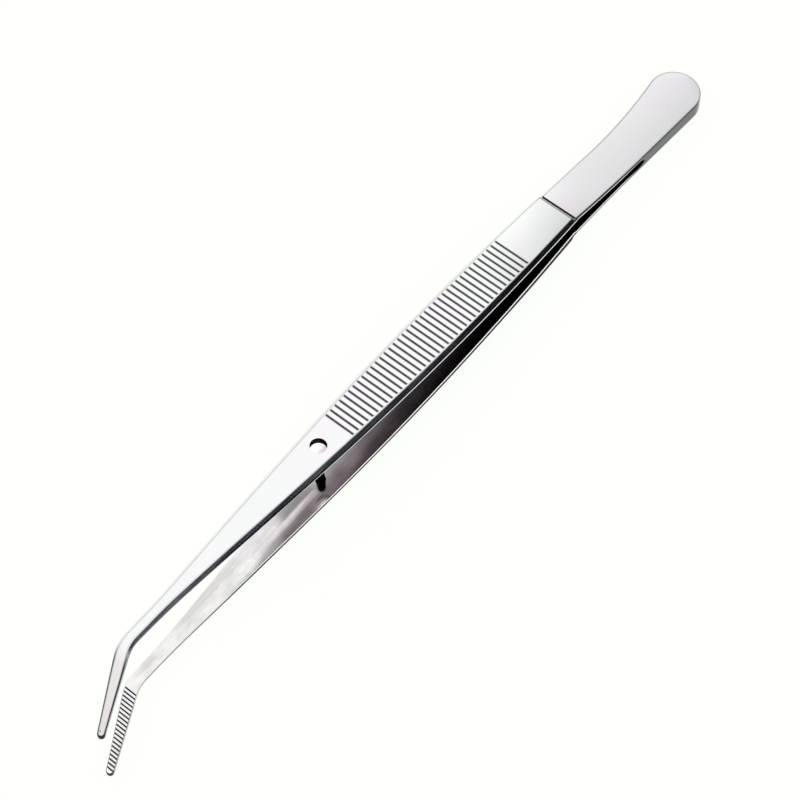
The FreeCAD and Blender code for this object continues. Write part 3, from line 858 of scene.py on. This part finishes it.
def plain_rim(mesh, foot, radius):
    """Give the new points around the hole the colour and finish of the face they are on."""
    middle = REST @ (Vector(foot) * MM)
    lean = REST.to_3x3() @ Vector((math.sin(FACE_ANGLE), 0.0, math.cos(FACE_ANGLE)))
    at = -foot[0]
    looks = {True: surface("outer", at, 0.5, True), False: surface("inner", at, 0.5, True)}
    for index, vertex in enumerate(mesh.vertices):
        away = vertex.co - middle
        height = away.dot(lean)
        on_rim = (away - lean * height).length < radius * RIM_REACH * MM
        if on_rim and height > -HOLE_DEPTH * MM:
            tone, finish = looks[height > -OUTER_SKIN * MM]
            mesh.attributes["tone"].data[index].color = tone + (1.0,)
            mesh.attributes["finish"].data[index].color = finish + (1.0,)


upper = finish_mesh(make_strip("upper_strip", True), "upper_strip", STRIP_STEEL)
lower = finish_mesh(make_strip("lower_strip", False), "lower_strip", STRIP_STEEL)
drill(upper, (-GUIDE_AT, 0.0, face_line(GUIDE_AT)), HOLE_RADIUS)

PIN_PLACE = (-GUIDE_AT, 0.0, -inner_line(GUIDE_AT))
FILLET = ((1.16, 0.0), (1.12, 0.04), (1.06, 0.12))
pin_profile = [(ON_AXIS, -SHANK_LENGTH), (SHANK_RADIUS, -SHANK_LENGTH), (SHANK_RADIUS, 0.0),
               *FILLET, (PIN_FOOT, CONE_START)]
pin_profile += [(PIN_FOOT - (PIN_FOOT - PIN_TOP) * share, CONE_START + CONE_RUN * share)
                for share in (0.25, 0.5, 0.75)]
DOME_STEPS = 8
for index in range(DOME_STEPS + 1):
    angle = math.pi / 2 * index / DOME_STEPS
    pin_profile.append((max(ON_AXIS, PIN_TOP * math.cos(angle)),
                        PIN_HEIGHT - PIN_TOP + PIN_TOP * math.sin(angle)))
pin = turned("guide_pin_turned", pin_profile, PIN_PLACE, INNER_ANGLE, PIN_PAINTED_SHADE_STEEL)

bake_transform(upper)
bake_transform(lower)
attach(pin, "lower_arm_body")
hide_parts("upper_tail", "upper_arm")
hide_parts("lower_tail", "lower_arm")
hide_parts("guide_pin")


# ---------------------------------------------------------------- floor, light and camera

def plain(name, color, strength, share):
    """Matt surface, a share of which glows instead, so that it stays pale in soft light."""
    material, tree, shader = node_tree(name)
    shader.inputs["Base Color"].default_value = tuple(color) + (1.0,)
    shader.inputs["Roughness"].default_value = 1.0
    shader.inputs["Specular IOR Level"].default_value = 0.0
    glow = add(tree, "ShaderNodeEmission")
    glow.inputs["Color"].default_value = tuple(color) + (1.0,)
    glow.inputs["Strength"].default_value = strength
    mix = add(tree, "ShaderNodeMixShader")
    mix.inputs[0].default_value = share
    tree.links.new(shader.outputs[0], mix.inputs[1])
    tree.links.new(glow.outputs[0], mix.inputs[2])
    tree.links.new(mix.outputs[0], tree.nodes["Material Output"].inputs["Surface"])
    return material


def panel(name, corners, material):
    mesh = bpy.data.meshes.new(name)
    mesh.from_pydata(corners, [], [tuple(range(len(corners)))])
    mesh.materials.append(material)
    thing = bpy.data.objects.new(name, mesh)
    bpy.context.scene.collection.objects.link(thing)
    return thing


FLOOR = plain("pale_floor", (0.965, 0.98, 0.94), 1.08, 0.88)
FLOOR_HALF = 3
FLOOR_Z = -0.0002     # just clear of the lower arm
panel("floor", [(x * FLOOR_HALF, y * FLOOR_HALF, FLOOR_Z)
                for x, y in ((-1, -1), (1, -1), (1, 1), (-1, 1))], FLOOR)
DARK = plain("dark_card", (0.010, 0.014, 0.035), 1.0, 0.0)
CARD_HALF = 1.2
CARD_Y = -0.75
CARD_TOP = 0.2
near_card = panel("near_card", [(side * CARD_HALF, CARD_Y, height * CARD_TOP)
                                for side, height in ((-1, 0), (1, 0), (1, 1), (-1, 1))], DARK)
near_card.visible_camera = False      # it is there only for the reflections in the steel

world = bpy.data.worlds.new("studio")
world.use_nodes = True
sky = world.node_tree
direction = add(sky, "ShaderNodeTexCoord").outputs["Generated"]
parts = add(sky, "ShaderNodeSeparateXYZ")
sky.links.new(direction, parts.inputs[0])
HORIZON = (0.20, 0.21, 0.26)
ZENITH = (0.75, 0.75, 0.75)
HORIZON_TOP, ZENITH_FOOT = 0.02, 0.5      # heights on the unit sphere
rise = ranged(sky, parts.outputs["Z"], HORIZON_TOP, ZENITH_FOOT, 0.0, 1.0)
glow = blended(sky, rise, HORIZON, ZENITH)
sky.links.new(glow, sky.nodes["Background"].inputs["Color"])
sky.nodes["Background"].inputs["Strength"].default_value = 1.0
bpy.context.scene.world = world

softbox_data = bpy.data.lights.new("softbox", "AREA")
softbox_data.shape = "RECTANGLE"
softbox_data.size = 1.6
softbox_data.size_y = 1.4
softbox_data.energy = 2.1
softbox = bpy.data.objects.new("softbox", softbox_data)
bpy.context.scene.collection.objects.link(softbox)
softbox.location = (0.58, 0.42, 1.05)
softbox.rotation_euler = Vector(softbox.location).to_track_quat("Z", "Y").to_euler()

CAMERA_TARGET = Vector((-0.0003, 0.0019, 0.0))
CAMERA_DISTANCE = 0.5765
CAMERA_TURN = math.radians(-137.09)
CAMERA_RISE = math.radians(61.14)
CAMERA_ROLL = math.radians(-4.10)
camera_data = bpy.data.cameras.new("camera")
camera_data.lens = 125.03
camera_data.sensor_width = 36.0
camera_data.clip_start = 0.01
camera = bpy.data.objects.new("camera", camera_data)
bpy.context.scene.collection.objects.link(camera)
facing = (Matrix.Rotation(CAMERA_TURN + math.pi / 2, 4, "Z")
          @ Matrix.Rotation(math.pi / 2 - CAMERA_RISE, 4, "X")
          @ Matrix.Rotation(CAMERA_ROLL, 4, "Z"))
camera.matrix_world = (Matrix.Translation(CAMERA_TARGET) @ facing
                       @ Matrix.Translation((0.0, 0.0, CAMERA_DISTANCE)))
bpy.context.scene.camera = camera
bpy.context.scene.view_settings.view_transform = "Standard"
